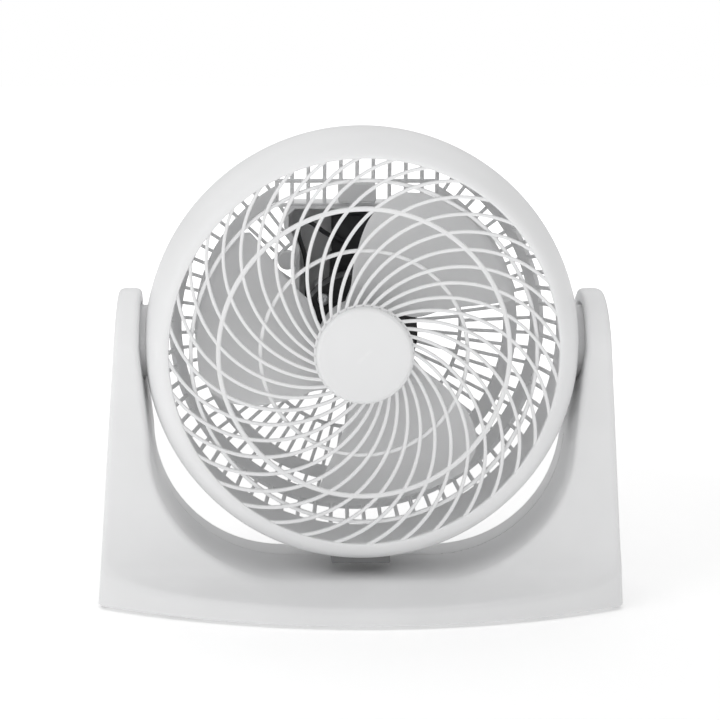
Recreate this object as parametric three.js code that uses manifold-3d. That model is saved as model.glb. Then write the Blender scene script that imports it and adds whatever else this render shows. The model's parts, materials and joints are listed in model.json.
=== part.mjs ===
// Desk fan: a round tilting head with a spiral front grille, hung between the two arms of a U-shaped yoke.
// Millimetres, +Z up, the air leaves towards -Y. The origin is under the middle of the fan, on the table.
import * as THREE from 'three';
import { mergeVertices } from 'three/addons/utils/BufferGeometryUtils.js';
import Module from 'manifold-3d';

const wasm = await Module();
wasm.setup();

// ---------------------------------------------------------------- driving dimensions
const GAP = 0.3; // clearance left between pieces that touch
const WALL = 2.4; // moulded plastic wall
const PIVOT_HEIGHT = 159; // tilt axis above the table
const BASE_AHEAD = 82; // base front edge, ahead of the tilt axis
const KNOB_BEHIND = 106; // back of the knob, behind the tilt axis
const PIVOT_Y = (BASE_AHEAD - KNOB_BEHIND) / 2; // centres the fan on the origin in depth

// yoke, seen from the front
const YOKE_BOTTOM = 2; // lower edge of the mouldings
const YOKE_TOP = 192;
const FOOT_HALF_WIDTH = 161; // half-width at the table
const ARM_HALF_WIDTH = 147.5; // half-width at the arm tops
const INNER_HALF_WIDTH = 134; // between the arms at the tilt axis
const VALLEY_HALF_WIDTH = 128; // between the arms where the round valley starts
const VALLEY_RADIUS = 82;
const VALLEY_HEIGHT = 20;
const CORNER_RADIUS = 5;
const ARM_ROUND = 33; // side view: radius of the round arm top about the tilt axis
const BOW_RADIUS = 320; // plan view: the bowed front edge
const SPLIT_Y = 14; // seam of the front and rear yoke mouldings, behind the tilt axis

// head; every y below is measured from the tilt axis, negative towards the front
const HEAD_RADIUS = 131.5;
const SEAM_Y = 4; // front grille moulding meets the rear shell
const WIDEST_Y = -6;
const FRONT_Y = -50;
const OPENING_RADIUS = 115.3;
const REAR_INNER_Y = 57; // the rear grille plate
const REAR_OUTER_Y = 60;
const PLATE_RADIUS = 117; // how far the rear grille plate reaches into the shell
const ROUND_SIDES = 36;

// front grille
const WIRE_COUNT = 36;
const WIRE_WIDTH = 2.1;
const WIRE_DEPTH = 3;
const WIRE_FRONT_Y = -49.3;
const SPIRAL_RADIUS = 70.6; // every wire is an arc of this radius...
const SPIRAL_OFFSET = 59.7; // ...with its centre this far from the fan's axis
const WIRE_TURN = 8; // degrees that the whole pattern of wires is turned clockwise
const CAP_RADIUS = 28.5;
const FACE_RING = 86; // ring flush with the wires
const BACK_RINGS = [61.3, 102.4]; // rings behind the wires

// rear grille: rows of slots, inner and outer radius and how many in the round (pairs of fine slots are
// joined into one here)
const SLOT_ROWS = [[41, 65.5, 36], [68, 94, 36], [103, 111, 36]];
const BAR_WIDTH = 2.4;
const SHOULDER_SLOT_Y = [30, 50]; // the row of slots in the rounded shoulder
const SHIELD_WAIST = 36; // half-width of the opening behind the motor
const SHIELD_TOP_HALF = 43;
const SHIELD_TOP = 74.5;
const SHIELD_FRAME = 3; // width of the rim round that opening
const SHIELD_KNEE = 50;
const PANEL_HALF = 50.6; // panel of upright bars above the control box
const PANEL_ROWS = [[78.5, 91], [93.4, 107.5]];
const PANEL_PITCH = 10.45;
const PANEL_BARS = 9; // upright bars between the panel's two ends
const BOSS_Z = [79, 91]; // the solid block in the middle of the panel

// motor and controls
const BOLT_CIRCLE = 31;
const STATOR_RADIUS = 37;
const MOTOR_MIDDLE_Y = 37.5;
const SHAFT_RADIUS = 4;
const LEAD_RADIUS = 1.5;
const COVER_BACK_Y = 92;
const KNOB_HEIGHT = 57; // knob axis above the fan's axis
const TRUNNION_RADIUS = 22;
const TRUNNION_REACH = 136.6;
const GLAND_HEIGHT = -25; // cord gland, from the fan's axis
const COVER_SCREWS = [[-44, 42], [44, 42], [-33, -30], [33, -30]];
const VENT_PLACES = [-24, -16, -8, 0, 8, 16, 24];

// impeller
const BLADE_COUNT = 3;
const BLADE_THICKNESS = 2;
const HUB_RADIUS = 26;
const TIP_RADIUS = 99.5;
// how far round each edge lies, clockwise in degrees, from the hub out to the tip
const TRAILING_EDGE = [-32, -12, -4.5, 1.5, 17.5];
const LEADING_EDGE = [52, 67, 70, 73.5, 75];

// fixings, places about the tilt axis
const BASE_SCREWS = [[-98, -20], [98, -20], [-48, -46], [48, -46], [-60, 40], [60, 40]];
const FEET = [[-104, -46], [104, -46], [-134, 38], [134, 38]];
const FOOT_RADIUS = 8;
const ARM_SCREW = [144, 112];
const PLATE_Z = [YOKE_BOTTOM + 0.4, YOKE_BOTTOM + 2.4];
const SIDES = [['left', -1], ['right', 1]];

// ---------------------------------------------------------------- finishes
const finish = (color, roughness, metalness = 0) => ({ color, roughness, metalness });
const WHITE = finish(0xe9e9ea, 0.42);
const BLADE = finish(0xd6d7d9, 0.35);
const RUBBER = finish(0x2b2b2d, 0.85);
const DARK = finish(0x1d1d1f, 0.5);
const STEEL = finish(0xb9bcc0, 0.35, 1);
const LAMINATION = finish(0x55575c, 0.5, 1);
const COPPER = finish(0xb06a3a, 0.35, 1);
const BRONZE = finish(0xa87f4a, 0.4, 1);
const NYLON = finish(0xf2f0e8, 0.5);

// ---------------------------------------------------------------- solids from geometries
function signedVolume(positions, triangles) {
  const [a, b, c] = [new THREE.Vector3(), new THREE.Vector3(), new THREE.Vector3()];
  let volume = 0;
  for (let i = 0; i < triangles.length; i += 3) {
    a.fromArray(positions, 3 * triangles[i]);
    b.fromArray(positions, 3 * triangles[i + 1]);
    c.fromArray(positions, 3 * triangles[i + 2]);
    volume += a.dot(b.cross(c)) / 6;
  }
  return volume;
}

// A closed geometry becomes a solid with its faces pointing out.
function solid(geometry) {
  const bare = (geometry.index ? geometry : geometry.clone()).clone();
  bare.deleteAttribute('normal');
  bare.deleteAttribute('uv');
  const merged = mergeVertices(bare, 1e-4);
  const vertProperties = new Float32Array(merged.attributes.position.array);
  const triVerts = new Uint32Array(merged.index.array);
  if (signedVolume(vertProperties, triVerts) < 0) triVerts.reverse();
  return new wasm.Manifold(new wasm.Mesh({ numProp: 3, vertProperties, triVerts }));
}

const join = (first, ...others) => others.reduce((sum, next) => sum.add(next), first);
const cut = (first, ...others) => others.reduce((rest, next) => rest.subtract(next), first);

function meshNamed(name, body, { color, roughness, metalness }) {
  const data = body.getMesh();
  const geometry = new THREE.BufferGeometry();
  geometry.setAttribute('position', new THREE.BufferAttribute(new Float32Array(data.vertProperties), 3));
  geometry.setIndex(new THREE.BufferAttribute(new Uint32Array(data.triVerts), 1));
  geometry.computeVertexNormals();
  const mesh = new THREE.Mesh(geometry, new THREE.MeshStandardMaterial({ color, roughness, metalness }));
  mesh.name = name;
  return mesh;
}

const points = (list) => list.map(([x, y]) => new THREE.Vector2(x, y));

// Turned piece about the Y axis from a closed outline of [radius, y] pairs.
function turned(outline, sides = 24) {
  return solid(new THREE.LatheGeometry(points([...outline, outline[0]]), sides));
}

const ring = (inner, outer, y0, y1, sides) =>
  turned([[inner, y0], [outer, y0], [outer, y1], [inner, y1]], sides);

// Round rod between two places on one axis, standing at (u, v) in the plane across it.
function rod(axis, radius, from, to, [u, v] = [0, 0], sides = 16) {
  const geometry = new THREE.CylinderGeometry(radius, radius, Math.abs(to - from), sides);
  const middle = (from + to) / 2;
  if (axis === 'x') geometry.rotateZ(Math.PI / 2).translate(middle, u, v);
  if (axis === 'y') geometry.translate(u, middle, v);
  if (axis === 'z') geometry.rotateX(Math.PI / 2).translate(u, v, middle);
  return solid(geometry);
}

function block([x0, x1], [y0, y1], [z0, z1]) {
  const geometry = new THREE.BoxGeometry(x1 - x0, y1 - y0, z1 - z0);
  return solid(geometry.translate((x0 + x1) / 2, (y0 + y1) / 2, (z0 + z1) / 2));
}

// Flat outlines pushed along one axis: [x, z] along Y, [y, z] along X, [x, y] along Z.
function pushed(axis, shape, from, to) {
  const geometry = new THREE.ExtrudeGeometry(shape, { depth: to - from, bevelEnabled: false });
  if (axis === 'y') geometry.rotateX(Math.PI / 2).translate(0, to, 0);
  if (axis === 'x') geometry.rotateZ(Math.PI / 2).rotateY(Math.PI / 2).translate(from, 0, 0);
  if (axis === 'z') geometry.translate(0, 0, from);
  return solid(geometry);
}

// Points on an arc, angles in degrees, both ends included.
function arc(cx, cy, radius, start, end, steps) {
  return Array.from({ length: steps + 1 }, (_, i) => {
    const angle = THREE.MathUtils.degToRad(start + ((end - start) * i) / steps);
    return [cx + radius * Math.cos(angle), cy + radius * Math.sin(angle)];
  });
}

// The outline moved inwards by a wall, each corner along its mitre.
function inset(outline, distance) {
  const turn = Math.sign(THREE.ShapeUtils.area(points(outline)));
  const count = outline.length;
  return outline.map(([x, y], i) => {
    const [px, py] = outline[(i + count - 1) % count];
    const [nx, ny] = outline[(i + 1) % count];
    const before = new THREE.Vector2(x - px, y - py).normalize();
    const after = new THREE.Vector2(nx - x, ny - y).normalize();
    const normal = new THREE.Vector2(-before.y - after.y, before.x + after.x).normalize();
    const mitre = Math.max(0.35, normal.dot(new THREE.Vector2(-before.y, before.x)));
    return [x + (turn * normal.x * distance) / mitre, y + (turn * normal.y * distance) / mitre];
  });
}

const shapeOf = (outline) => new THREE.Shape(points(outline));
const mirrored = (half) => [...half, ...half.map(([x, z]) => [-x, z]).reverse()];

// ---------------------------------------------------------------- yoke
function yokeFront() {
  const armTop = arc(ARM_HALF_WIDTH - CORNER_RADIUS, YOKE_TOP - CORNER_RADIUS, CORNER_RADIUS, 0, 90, 3);
  const inner = INNER_HALF_WIDTH - 0.5;
  return mirrored([
    [FOOT_HALF_WIDTH - CORNER_RADIUS, YOKE_BOTTOM],
    [FOOT_HALF_WIDTH, YOKE_BOTTOM + CORNER_RADIUS],
    ...armTop,
    ...arc(inner + CORNER_RADIUS, YOKE_TOP - CORNER_RADIUS, CORNER_RADIUS, 90, 180, 3),
    [INNER_HALF_WIDTH, PIVOT_HEIGHT],
    ...arc(VALLEY_HALF_WIDTH - VALLEY_RADIUS, VALLEY_HEIGHT + VALLEY_RADIUS, VALLEY_RADIUS, 0, -90, 9),
  ]);
}

// Side view about the tilt axis: round arm tops, nearly upright sides and a long low toe.
function yokeSide() {
  const toe = [[-35, 100], [-36.5, 60], [-38.5, 36], [-42, 26], [-48, 20.5], [-60, 16.3], [-90, 11.2]];
  const heel = [[62, YOKE_BOTTOM], [60, 7], [50, 11], [42, 19], [38, 32], [36, 60], [35, 100]];
  return [...toe, [-90, YOKE_BOTTOM], ...heel, ...arc(0, PIVOT_HEIGHT, ARM_ROUND, 0, 180, 10)];
}

// Plan view about the tilt axis: the bowed front edge and a straight back.
function yokePlan() {
  const side = THREE.MathUtils.radToDeg(Math.asin((FOOT_HALF_WIDTH + 3) / BOW_RADIUS));
  const front = arc(0, BOW_RADIUS - BASE_AHEAD, BOW_RADIUS, -90 - side, -90 + side, 16);
  return [...front, [FOOT_HALF_WIDTH + 3, 58], [-FOOT_HALF_WIDTH - 3, 58]];
}

// The yoke's outer form, or with a wall given the hollow inside it, open at the bottom.
function yokeBody(wall) {
  const shrink = (outline) => {
    const smaller = inset(outline, wall);
    return smaller.map(([u, z], i) => [u, outline[i][1] === YOKE_BOTTOM && wall > 0 ? -CORNER_RADIUS : z]);
  };
  return pushed('y', shapeOf(shrink(yokeFront())), -100, 80)
    .intersect(pushed('x', shapeOf(shrink(yokeSide())), -170, 170))
    .intersect(pushed('z', shapeOf(inset(yokePlan(), wall)), -CORNER_RADIUS - 1, YOKE_TOP + 1));
}

function yokeMouldings() {
  const outer = yokeBody(0);
  const posts = [
    ...BASE_SCREWS.map((place) => rod('z', 4.5, PLATE_Z[1] + GAP, 60, place, 8)),
    ...SIDES.map(([, side]) => rod('y', 4, -60, 60, [side * ARM_SCREW[0], ARM_SCREW[1]], 12)),
    ...SIDES.map(([, side]) => rod('x', 28, side * 132, side * 140.5, [0, PIVOT_HEIGHT], 24)),
  ];
  const openings = [
    ...BASE_SCREWS.map((place) => rod('z', 2, 0, 15, place, 8)),
    ...SIDES.map(([, side]) => rod('y', 2, -20, 60, [side * ARM_SCREW[0], ARM_SCREW[1]], 12)),
    ...SIDES.map(([, side]) => rod('y', 3.4, 30, 60, [side * ARM_SCREW[0], ARM_SCREW[1]], 12)),
    ...SIDES.map(([, side]) => rod('x', TRUNNION_RADIUS + 2, side * 120, side * 137, [0, PIVOT_HEIGHT], 24)),
    ...SIDES.map(([, side]) => rod('x', 6, side * 130, side * 142, [0, PIVOT_HEIGHT], 16)),
  ];
  const insidePosts = posts.map((post) => post.intersect(outer));
  const shell = cut(join(cut(outer, yokeBody(WALL)), ...insidePosts), ...openings);
  const behind = block([-200, 200], [SPLIT_Y, 120], [-20, 220]);
  return [cut(shell, behind), shell.intersect(behind.translate([0, GAP, 0]))];
}

function yokeParts() {
  const [front, rear] = yokeMouldings();
  const plan = shapeOf(inset(yokePlan(), WALL + 0.6));
  const sides = block([-FOOT_HALF_WIDTH + 6, FOOT_HALF_WIDTH - 6], [-100, 100], [0, 20]);
  const holes = BASE_SCREWS.map((place) => rod('z', 2, 0, 10, place, 8));
  const plate = cut(pushed('z', plan, ...PLATE_Z).intersect(sides), ...holes);
  const parts = [
    meshNamed('yoke_front_shell', front, WHITE),
    meshNamed('yoke_rear_shell', rear, WHITE),
    meshNamed('base_plate', plate, WHITE),
  ];
  FEET.forEach((place, i) => {
    const foot = rod('z', FOOT_RADIUS, 0, PLATE_Z[0] - GAP, place, 16);
    parts.push(meshNamed(`rubber_foot_${i + 1}`, foot, RUBBER));
  });
  BASE_SCREWS.forEach((place, i) => {
    const piece = join(rod('z', 3.4, 0.7, PLATE_Z[0] - GAP, place, 10), rod('z', 1.7, 1.5, 14, place, 8));
    parts.push(meshNamed(`base_screw_${i + 1}`, piece, STEEL));
  });
  for (const [name, side] of SIDES) {
    const place = [side * ARM_SCREW[0], ARM_SCREW[1]];
    const piece = join(rod('y', 3.1, 30.3, 32.4, place, 10), rod('y', 1.7, -12, 31, place, 8));
    parts.push(meshNamed(`arm_screw_${name}`, piece, STEEL));
    const bush = cut(
      join(rod('x', 5.7, side * 137.3, side * 142, [0, PIVOT_HEIGHT], 16),
        rod('x', 8.5, side * 140.8, side * 142, [0, PIVOT_HEIGHT], 16)),
      rod('x', 3.5, side * 130, side * 150, [0, PIVOT_HEIGHT], 16));
    parts.push(meshNamed(`tilt_bushing_${name}`, bush, NYLON));
  }
  return parts;
}

// ---------------------------------------------------------------- rear shell and its covers
// The motor opening: straight sides, round below the axis, flared to the control box above it.
function shieldOutline(grow) {
  const waist = SHIELD_WAIST + grow;
  const top = SHIELD_TOP_HALF + grow;
  const half = [[waist, 0], [waist, SHIELD_KNEE], [top, SHIELD_TOP - 12], [top, SHIELD_TOP - 4],
    [SHIELD_TOP_HALF - 4, SHIELD_TOP + grow]];
  return [...mirrored(half), ...arc(0, 0, waist, 180, 360, 16).slice(1, -1)];
}

function polarSlot(inner, outer, middle, pitch) {
  const reach = (radius, side) => middle + side * (pitch / 2 - BAR_WIDTH / 2 / radius);
  const corner = (radius, side) => {
    const angle = reach(radius, side);
    return [radius * Math.sin(angle), radius * Math.cos(angle)];
  };
  return [corner(inner, -1), corner(inner, 1), corner(outer, 1), corner(outer, -1)];
}

// Slots are left out where they would run into the panel of upright bars or the motor opening.
function slotIsFree(outline) {
  const meetsPanel = ([x, z]) => Math.abs(x) < PANEL_HALF + 2 && z > SHIELD_TOP - 2;
  const meetsOpening = ([x, z]) =>
    Math.abs(x) < SHIELD_WAIST + 9 && Math.abs(z) < 22 + (z > 0 ? SHIELD_KNEE : 0);
  return !outline.some(meetsPanel) && !outline.some(meetsOpening);
}

function rearGrillePlate() {
  const disc = shapeOf(arc(0, 0, PLATE_RADIUS, 0, 360, ROUND_SIDES).slice(1));
  for (const [inner, outer, count] of SLOT_ROWS) {
    const pitch = (2 * Math.PI) / count;
    for (let i = 0; i < count; i += 1) {
      const outline = polarSlot(inner, outer, (i + 0.5) * pitch, pitch);
      if (slotIsFree(outline)) disc.holes.push(new THREE.Path(points(outline)));
    }
  }
  return cut(pushed('y', disc, REAR_INNER_Y, REAR_OUTER_Y), ...panelSlots());
}

// Upright slots above the control box, their tops kept inside the round of the shell.
function panelSlots() {
  const bars = Array.from({ length: PANEL_BARS }, (_, i) => (i - (PANEL_BARS - 1) / 2) * PANEL_PITCH);
  const edges = [-PANEL_HALF, ...bars, PANEL_HALF];
  const through = [REAR_INNER_Y - 5, REAR_OUTER_Y + 5];
  return PANEL_ROWS.flatMap(([low, high]) => edges.slice(1).map((right, i) => {
    const [x0, x1] = [edges[i] + BAR_WIDTH / 2, right - BAR_WIDTH / 2];
    const limit = Math.sqrt(PLATE_RADIUS ** 2 - Math.max(Math.abs(x0), Math.abs(x1)) ** 2) - 3;
    return block([x0, x1], through, [low, Math.min(high, limit)]);
  }));
}

const headContour = (y) => Math.sqrt(HEAD_RADIUS ** 2 - (y - WIDEST_Y) ** 2);

function rearShell() {
  const depths = [SEAM_Y + GAP, 20, 36, 48, REAR_OUTER_Y - 2];
  const outside = depths.map((y) => [headContour(y), y]);
  const inside = depths.slice(0, -1).map((y) => [headContour(y) - 2.6, y]).reverse();
  const drum = turned([...outside, [headContour(REAR_OUTER_Y) - 1.5, REAR_OUTER_Y], [112, REAR_OUTER_Y],
    [112, REAR_INNER_Y], ...inside], ROUND_SIDES);
  const pitch = (2 * Math.PI) / ROUND_SIDES;
  const width = pitch * 124 - BAR_WIDTH;
  const slots = Array.from({ length: ROUND_SIDES }, (_, i) => {
    const slot = new THREE.BoxGeometry(width, SHOULDER_SLOT_Y[1] - SHOULDER_SLOT_Y[0], 30);
    slot.translate(0, (SHOULDER_SLOT_Y[0] + SHOULDER_SLOT_Y[1]) / 2, 124).rotateY((i + 0.5) * pitch);
    return solid(slot);
  });
  const trunnions = SIDES.map(([, side]) =>
    rod('x', TRUNNION_RADIUS, side * 124, side * TRUNNION_REACH, [0, 0], 24));
  const bores = SIDES.map(([, side]) => rod('x', 2.4, side * 120, side * 140, [0, 0], 10));
  const clearRing = ring(119, HEAD_RADIUS - 2.5, SEAM_Y - 30, REAR_INNER_Y - 12, ROUND_SIDES);
  const bossStock = trunnions.map((boss) => cut(boss, clearRing));
  const frame = pushed('y', shapeOf(shieldOutline(SHIELD_FRAME)), REAR_INNER_Y, REAR_OUTER_Y);
  const grille = join(rearGrillePlate(), frame);
  const pads = COVER_SCREWS.map((place) => rod('y', 6, REAR_INNER_Y - 3, REAR_OUTER_Y, place, 16));
  const pilot = COVER_SCREWS.map((place) => rod('y', 2, 40, 70, place, 12));
  const boss = block([-12, 12], [REAR_INNER_Y - 4, REAR_OUTER_Y], BOSS_Z);
  const opening = pushed('y', shapeOf(shieldOutline(0)), REAR_INNER_Y - 10, REAR_OUTER_Y + 10);
  const body = join(cut(drum, ...slots), grille, boss, ...pads, ...bossStock);
  return cut(body, opening, ...pilot, ...bores);
}

function motorCover() {
  const front = REAR_OUTER_Y + GAP;
  const outer = pushed('y', shapeOf(shieldOutline(3.4)), front, COVER_BACK_Y);
  const inner = pushed('y', shapeOf(shieldOutline(1)), front - 5, COVER_BACK_Y - WALL);
  const lugs = COVER_SCREWS.map((place) => rod('y', 6, front, front + 4, place, 16));
  const lugHoles = COVER_SCREWS.map((place) => rod('y', 2, front - 1, front + 6, place, 12));
  const posts = boltPlaces().map((place) => rod('y', 4.4, 51.5 + GAP, COVER_BACK_Y - 1, place, 12));
  const postHoles = boltPlaces().map((place) => rod('y', 2.2, 40, 66, place, 12));
  const vents = VENT_PLACES.map((x) => block([x - 1.5, x + 1.5], [80, 100], [-16, 24]));
  const knobHole = rod('y', 4.5, 80, 100, [0, KNOB_HEIGHT], 20);
  const glandHole = rod('y', 5, 80, 100, [0, GLAND_HEIGHT], 20);
  const shell = join(cut(join(outer, ...lugs), inner), ...posts);
  return cut(shell, ...lugHoles, ...postHoles, ...vents, knobHole, glandHole);
}

// ---------------------------------------------------------------- front grille
// Angle at which a wire crosses a radius: the wire is a circular arc, and this is its cosine rule.
function wireAngle(radius) {
  const cosine = (radius ** 2 + SPIRAL_OFFSET ** 2 - SPIRAL_RADIUS ** 2) / (2 * radius * SPIRAL_OFFSET);
  return Math.PI / 2 - Math.acos(cosine);
}

function wireEdge(index, radius, side) {
  const step = 0.5;
  const slope = (radius * (wireAngle(radius + step) - wireAngle(radius - step))) / (2 * step);
  const half = ((WIRE_WIDTH / 2) * Math.hypot(1, slope)) / radius;
  const turn = THREE.MathUtils.degToRad(WIRE_TURN + (index * 360) / WIRE_COUNT);
  const angle = wireAngle(radius) + turn + side * half;
  return [radius * Math.sin(angle), radius * Math.cos(angle)];
}

function spiralSlot(index, inner, outer, steps) {
  const radii = Array.from({ length: steps + 1 }, (_, i) => inner + ((outer - inner) * i) / steps);
  const leftEdge = radii.map((radius) => wireEdge(index, radius, 1));
  const rightEdge = radii.map((radius) => wireEdge(index + 1, radius, -1));
  return [...leftEdge, ...rightEdge.reverse()];
}

function frontGrille() {
  const face = shapeOf(arc(0, 0, 117.4, 0, 360, ROUND_SIDES).slice(1));
  for (let i = 0; i < WIRE_COUNT; i += 1) {
    face.holes.push(new THREE.Path(points(spiralSlot(i, CAP_RADIUS + 1.5, FACE_RING - 1.3, 4))));
    face.holes.push(new THREE.Path(points(spiralSlot(i, FACE_RING + 1.3, OPENING_RADIUS, 2))));
  }
  const wires = pushed('y', face, WIRE_FRONT_Y, WIRE_FRONT_Y + WIRE_DEPTH);
  const backY = WIRE_FRONT_Y + WIRE_DEPTH;
  const rings = BACK_RINGS.map((radius) =>
    ring(radius - 1.2, radius + 1.2, backY - 0.4, backY + 2.2, ROUND_SIDES));
  const turns = [0, 22, 44, 67, 90].map((angle) => THREE.MathUtils.degToRad(angle));
  const bulge = (lip, rise, depth) =>
    turns.map((t) => [lip + rise * Math.cos(t), WIDEST_Y - depth * Math.sin(t)]);
  const outside = bulge(116.5, HEAD_RADIUS - 116.5, WIDEST_Y - FRONT_Y);
  const inside = bulge(115.3, HEAD_RADIUS - 2.6 - 115.3, WIDEST_Y - FRONT_Y - 4).reverse();
  const bezel = turned([[headContour(SEAM_Y), SEAM_Y], ...outside, [OPENING_RADIUS, FRONT_Y + 0.5], ...inside,
    [headContour(SEAM_Y) - 2.6, SEAM_Y]], ROUND_SIDES);
  const notches = SIDES.map(([, side]) =>
    rod('x', TRUNNION_RADIUS + 0.4, side * 110, side * 150, [0, 0], 24));
  return cut(join(bezel, wires, ...rings), ...notches, latchBlock(GAP));
}

// The catch at the bottom that holds the grille moulding to the rear shell, or with a margin its pocket.
const latchBlock = (margin) =>
  block([-18 - margin, 18 + margin], [-31 - margin, -14 + margin], [-132.4 - margin, -126 + margin]);

function centreCap() {
  const back = WIRE_FRONT_Y - GAP;
  const outside = [[CAP_RADIUS, back], [CAP_RADIUS, back - 3], [CAP_RADIUS - 1, back - 5],
    [CAP_RADIUS - 3.5, back - 6], [0, back - 6.6]];
  const inside = [[0, back - 4.4], [CAP_RADIUS - WALL, back - 4], [CAP_RADIUS - WALL, back]];
  return turned([...outside, ...inside], 32);
}

// ---------------------------------------------------------------- impeller
function along(values, t) {
  const last = values.length - 1;
  const spline = new THREE.SplineCurve(values.map((value, i) => new THREE.Vector2(i / last, value)));
  return spline.getPoint(t).y;
}

function blade(turn) {
  const geometry = new THREE.BoxGeometry(1, 1, 1, 5, 5, 1);
  const place = geometry.attributes.position;
  for (let i = 0; i < place.count; i += 1) {
    const chord = place.getX(i) + 0.5;
    const span = place.getY(i) + 0.5;
    const radius = THREE.MathUtils.lerp(HUB_RADIUS - 2.5, TIP_RADIUS, span);
    const degrees = THREE.MathUtils.lerp(along(TRAILING_EDGE, span), along(LEADING_EDGE, span), chord);
    const angle = THREE.MathUtils.degToRad(degrees) + turn;
    const frontY = THREE.MathUtils.lerp(-34, -22, span);
    const rearY = THREE.MathUtils.lerp(0, -2, span);
    const camber = 4 * Math.sin(Math.PI * chord);
    const depth = THREE.MathUtils.lerp(frontY, rearY, chord) + camber + BLADE_THICKNESS * place.getZ(i);
    place.setXYZ(i, radius * Math.sin(angle), depth, radius * Math.cos(angle));
  }
  return solid(geometry);
}

function impeller() {
  const hub = turned([[4.3, -36], [HUB_RADIUS - 2, -36], [HUB_RADIUS, -34], [HUB_RADIUS, 2],
    [HUB_RADIUS - WALL, 2], [HUB_RADIUS - WALL, -33], [9, -33], [9, 0], [4.3, 0]], 24);
  const blades = Array.from({ length: BLADE_COUNT }, (_, i) => blade((i * 2 * Math.PI) / BLADE_COUNT));
  const inside = ring(8, HUB_RADIUS - WALL, -33, 20, 24);
  return join(hub, ...blades.map((piece) => cut(piece, inside)));
}

// ---------------------------------------------------------------- motor
const boltPlaces = () => arc(0, 0, BOLT_CIRCLE, 45, 315, 3);

function bracket() {
  const dish = [[7.4, -26.5], [20, -26.5], [24, -21.5], [24, -13.5], [STATOR_RADIUS, -13.5],
    [STATOR_RADIUS, -10.6], [22, -10.6], [22, -20.5], [19, -24], [7.4, -24]];
  return cut(turned(dish, 24), ...boltPlaces().map((place) => rod('y', 2.2, -30, 0, place, 8)));
}

function motorParts() {
  const front = bracket().translate([0, MOTOR_MIDDLE_Y, 0]);
  const rear = bracket().rotate([180, 0, 0]).translate([0, MOTOR_MIDDLE_Y, 0]);
  const boltHoles = boltPlaces().map((place) => rod('y', 2.2, 0, 70, place, 8));
  const stator = cut(ring(22, STATOR_RADIUS, MOTOR_MIDDLE_Y - 10.3, MOTOR_MIDDLE_Y + 10.3, 32), ...boltHoles);
  const winding = ring(17.4, 21.7, MOTOR_MIDDLE_Y - 19, MOTOR_MIDDLE_Y + 19, 24);
  const bearing = (y) => ring(SHAFT_RADIUS + GAP, 7.1, y - 4, y + 4, 24);
  const parts = [
    meshNamed('motor_front_bracket', front, DARK),
    meshNamed('motor_rear_bracket', rear, DARK),
    meshNamed('stator_core', stator, LAMINATION),
    meshNamed('stator_winding', winding, COPPER),
    meshNamed('front_bearing', bearing(MOTOR_MIDDLE_Y - 22), BRONZE),
    meshNamed('rear_bearing', bearing(MOTOR_MIDDLE_Y + 22), BRONZE),
  ];
  boltPlaces().forEach((place, i) => {
    const bolt = join(rod('y', 3.8, 20.7, 23.7, place, 10), rod('y', 1.8, 23, 63, place, 8));
    parts.push(meshNamed(`motor_bolt_${i + 1}`, bolt, STEEL));
  });
  return parts;
}

function rotorParts() {
  const shaft = rod('y', SHAFT_RADIUS, -42, 66, [0, 0], 20);
  const core = ring(SHAFT_RADIUS + GAP, 16.4, MOTOR_MIDDLE_Y - 10, MOTOR_MIDDLE_Y + 10, 32);
  const spacer = ring(SHAFT_RADIUS + GAP, 7, 1, 8, 20);
  const nut = turned([[SHAFT_RADIUS + GAP, -36.3], [9, -36.3], [9, -41], [7, -43.5], [0, -45], [0, -42.4],
    [SHAFT_RADIUS + GAP, -42.4]], 20);
  return [
    meshNamed('impeller', impeller(), BLADE),
    meshNamed('impeller_nut', nut, BLADE),
    meshNamed('motor_shaft', shaft, STEEL),
    meshNamed('rotor_core', core, LAMINATION),
    meshNamed('shaft_spacer', spacer, NYLON),
  ];
}

// ---------------------------------------------------------------- controls and leads
function lead(path, radius) {
  const section = shapeOf(arc(0, 0, radius, 0, 360, 6).slice(1));
  const curve = new THREE.CatmullRomCurve3(path.map((place) => new THREE.Vector3(...place)));
  return solid(new THREE.ExtrudeGeometry(section, { steps: 12, bevelEnabled: false, extrudePath: curve }));
}

function controlParts() {
  const inside = COVER_BACK_Y - WALL - GAP;
  const switchBody = join(block([-15, 15], [inside - 16, inside], [KNOB_HEIGHT - 12, KNOB_HEIGHT + 12]),
    rod('y', 3, inside - 1, 100, [0, KNOB_HEIGHT], 16));
  const capacitor = block([-16, 16], [inside - 16, inside], [18, KNOB_HEIGHT - 13]);
  const at = [0, GLAND_HEIGHT];
  const gland = cut(join(rod('y', 8, COVER_BACK_Y + GAP, COVER_BACK_Y + 6, at, 20),
    rod('y', 4.6, 84, COVER_BACK_Y + 1, at, 20)), rod('y', 3, 80, 110, at, 16));
  const motorLead = lead([[-6, 71, 51], [-19, 66, 58], [-31, 62, 66], [-37, 62, 60], [-32, 63, 40],
    [-31, 66, 10]], LEAD_RADIUS);
  const supplyLead = lead([[8, 71, 51], [22, 68, 56], [27.5, 68, 40], [27, 74, 10], [20, 80, -12],
    [9, 82, -22]], LEAD_RADIUS);
  return [
    meshNamed('rotary_switch', switchBody, DARK),
    meshNamed('run_capacitor', capacitor, DARK),
    meshNamed('cord_gland', gland, RUBBER),
    meshNamed('motor_lead', motorLead, DARK),
    meshNamed('supply_lead', supplyLead, DARK),
  ];
}

function knob() {
  const front = COVER_BACK_Y + 0.6;
  const dial = turned([[0, front], [15, front], [15, 97], [14, 98.5], [0, 98.5]], 36);
  const grip = block([-3.5, 3.5], [98, KNOB_BEHIND], [-14, 14]).intersect(rod('y', 14, 90, 110, [0, 0], 36));
  return cut(join(dial, grip), rod('y', 3.3, 90, 100.4, [0, 0], 16));
}

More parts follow.
